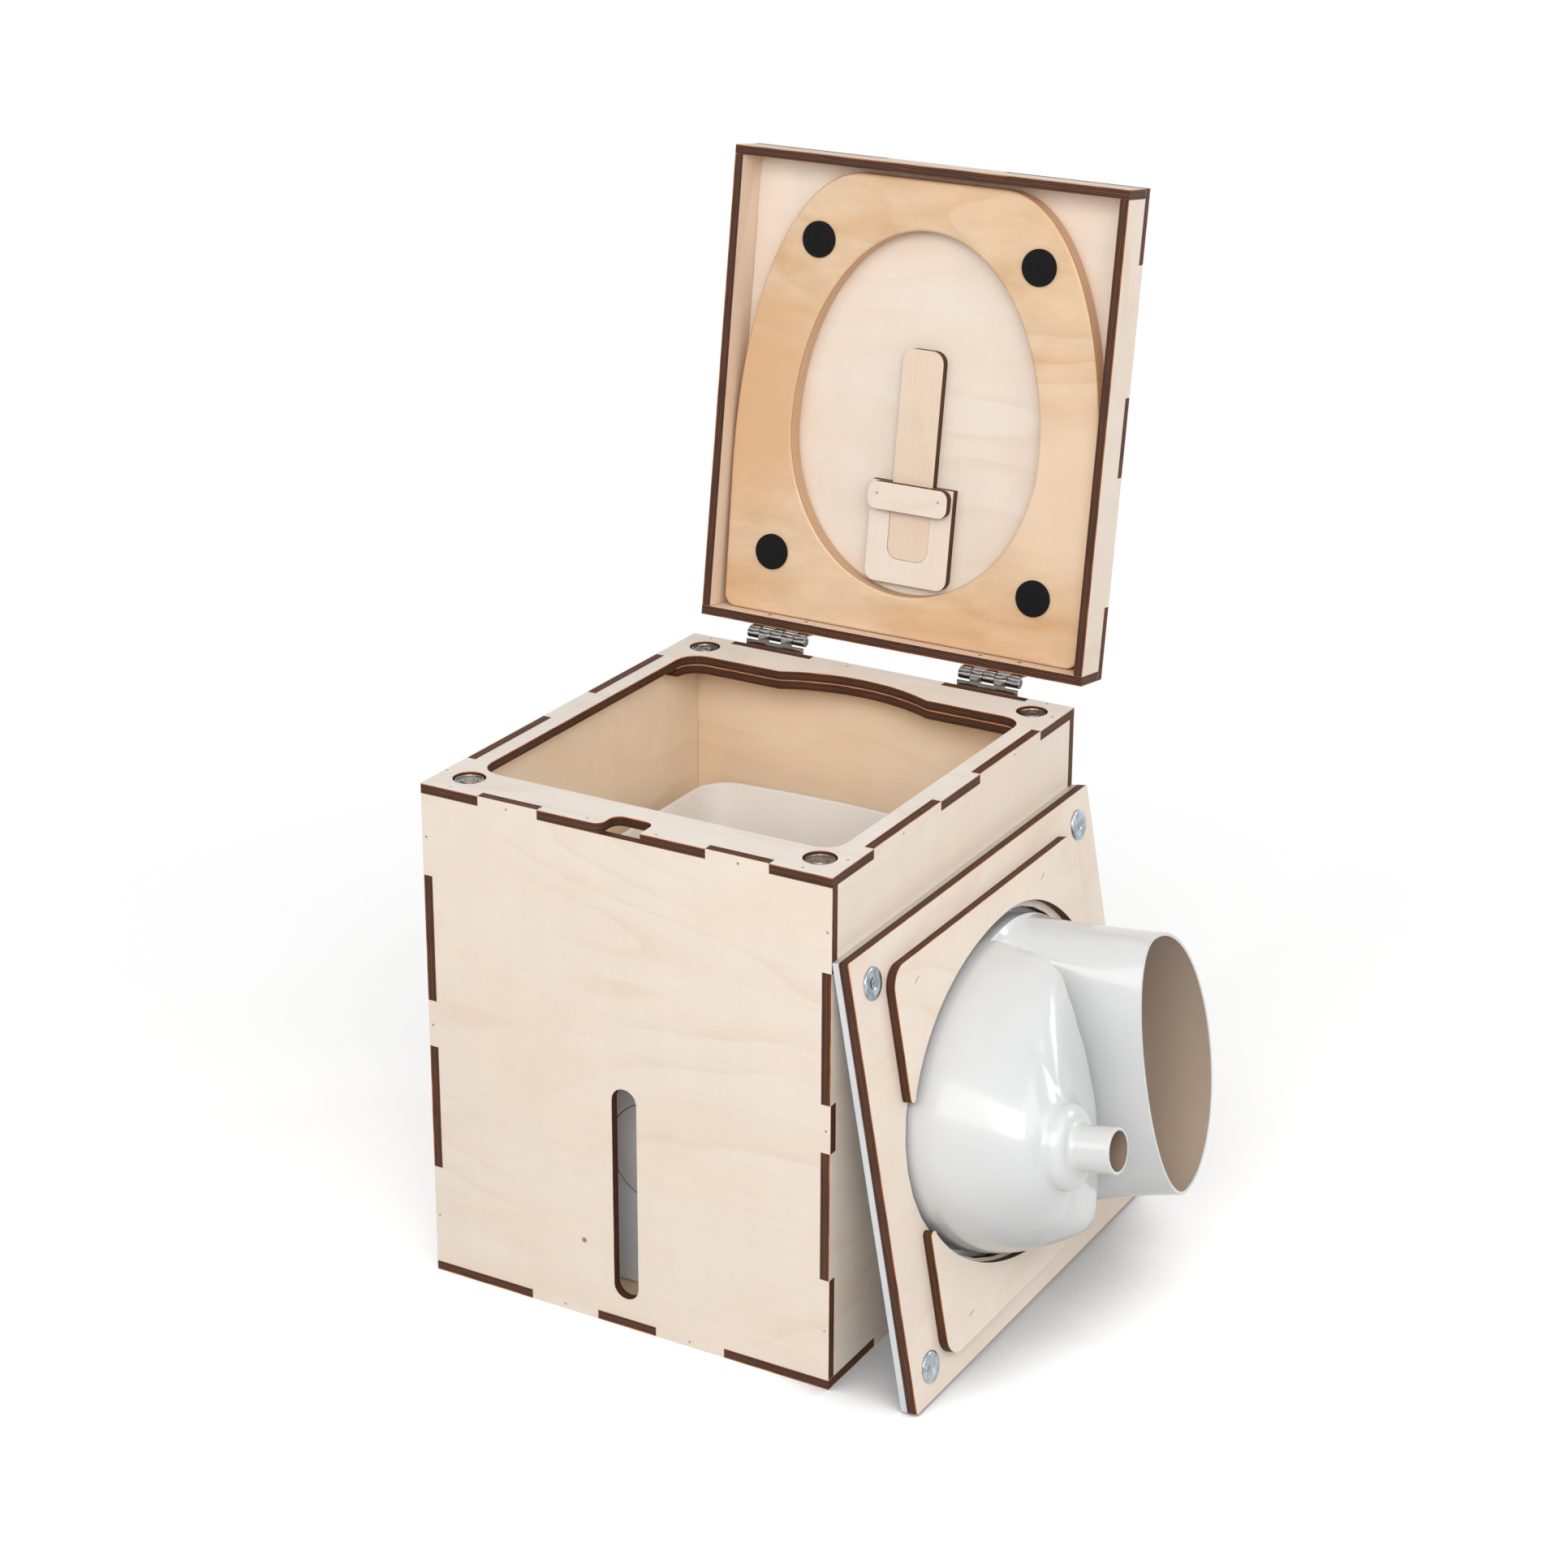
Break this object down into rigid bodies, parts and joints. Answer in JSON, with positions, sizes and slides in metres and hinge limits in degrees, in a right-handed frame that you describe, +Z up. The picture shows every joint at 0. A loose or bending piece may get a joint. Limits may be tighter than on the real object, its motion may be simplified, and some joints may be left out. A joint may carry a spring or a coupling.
{
  "type": "separating dry toilet",
  "caption": "Finger-jointed plywood box toilet: open hinged lid that stores the seat and a slat, bucket and canister inside, and a separator plate with its bowl leaning on one side.",
  "frame": {"origin": "on the floor, under the middle of the box", "axes": "+Z up, -Y out of the box's front with the sight slot, +X towards the side on which the separator leans"},
  "size_m": [0.5929, 0.5541, 0.9011],
  "materials": {
    "birch": "pale rotary-cut birch veneer, laser-burnt edges, oiled",
    "seat_birch": "darker varnished birch plywood with a rounded edge",
    "white_laminate": "white satin sheet",
    "zinc": "zinc-plated, satin",
    "chrome": "bright plated",
    "rubber": "matte black",
    "grey_plastic": "glossy light grey moulding",
    "bucket_plastic": "satin off-white moulding",
    "canister_plastic": "bluish-white translucent moulding"
  },
  "bodies": {
    "box": {"top_panel": "birch", "bottom_panel": "birch", "front_panel": "birch", "back_panel": "birch", "left_panel": "birch", "right_panel": "birch", "back_batten": "birch", "corner_block_left": "birch", "corner_block_right": "birch", "magnet_front_left": "zinc", "magnet_front_right": "zinc", "magnet_back_left": "zinc", "magnet_back_right": "zinc", "magnet_screw_front_left": "zinc", "magnet_screw_front_right": "zinc", "magnet_screw_back_left": "zinc", "magnet_screw_back_right": "zinc", "hinge_box_leaf_left": "chrome", "hinge_box_leaf_right": "chrome", "hinge_pin_left": "chrome", "hinge_pin_right": "chrome", "box_leaf_screw_left_outer": "zinc", "box_leaf_screw_left_inner": "zinc", "box_leaf_screw_right_inner": "zinc", "box_leaf_screw_right_outer": "zinc"},
    "lid": {"lid_top": "birch", "lid_front_wall": "birch", "lid_back_wall": "birch", "lid_left_wall": "birch", "lid_right_wall": "birch", "hinge_lid_leaf_left": "chrome", "hinge_lid_leaf_right": "chrome", "lid_leaf_screw_left_outer": "zinc", "lid_leaf_screw_left_inner": "zinc", "lid_leaf_screw_right_inner": "zinc", "lid_leaf_screw_right_outer": "zinc", "slat_holder_base": "birch", "slat_holder_bar": "birch"},
    "seat": {"seat_ring": "seat_birch", "seat_buffer_low_left": "rubber", "seat_buffer_low_right": "rubber", "seat_buffer_high_left": "rubber", "seat_buffer_high_right": "rubber"},
    "slat": {"slat": "birch"},
    "bucket": {"solids_bucket": "bucket_plastic"},
    "canister": {"urine_canister": "canister_plastic"},
    "separator": {"separator_sheet": "white_laminate", "separator_board": "birch", "separator_ring": "birch", "separator_bowl": "grey_plastic", "strike_disc_front_left": "zinc", "strike_disc_front_right": "zinc", "strike_disc_back_left": "zinc", "strike_disc_back_right": "zinc", "strike_screw_front_left": "zinc", "strike_screw_front_right": "zinc", "strike_screw_back_left": "zinc", "strike_screw_back_right": "zinc"}
  },
  "joints": [
    {"name": "lid_hinge", "type": "hinge", "parent": "box", "child": "lid", "pos_m": [0, 0.2236, 0.466], "axis": [-1, 0, 0], "range_deg": [-98.57, 0]},
    {"name": "seat_lift", "type": "slide", "parent": "lid", "child": "seat", "axis": [0, -0.9888, 0.149], "range_m": [0, 0.05]},
    {"name": "slat_slide", "type": "slide", "parent": "lid", "child": "slat", "axis": [0, 0.149, 0.9888], "range_m": [0, 0.07]},
    {"name": "bucket_lift", "type": "slide", "parent": "box", "child": "bucket", "axis": [0, 0, 1], "range_m": [0, 0.45]},
    {"name": "canister_lift", "type": "slide", "parent": "box", "child": "canister", "axis": [0, 0, 1], "range_m": [0, 0.45]},
    {"name": "separator_slide", "type": "slide", "parent": "box", "child": "separator", "axis": [1, 0, 0], "range_m": [0, 0.3]}
  ]
}
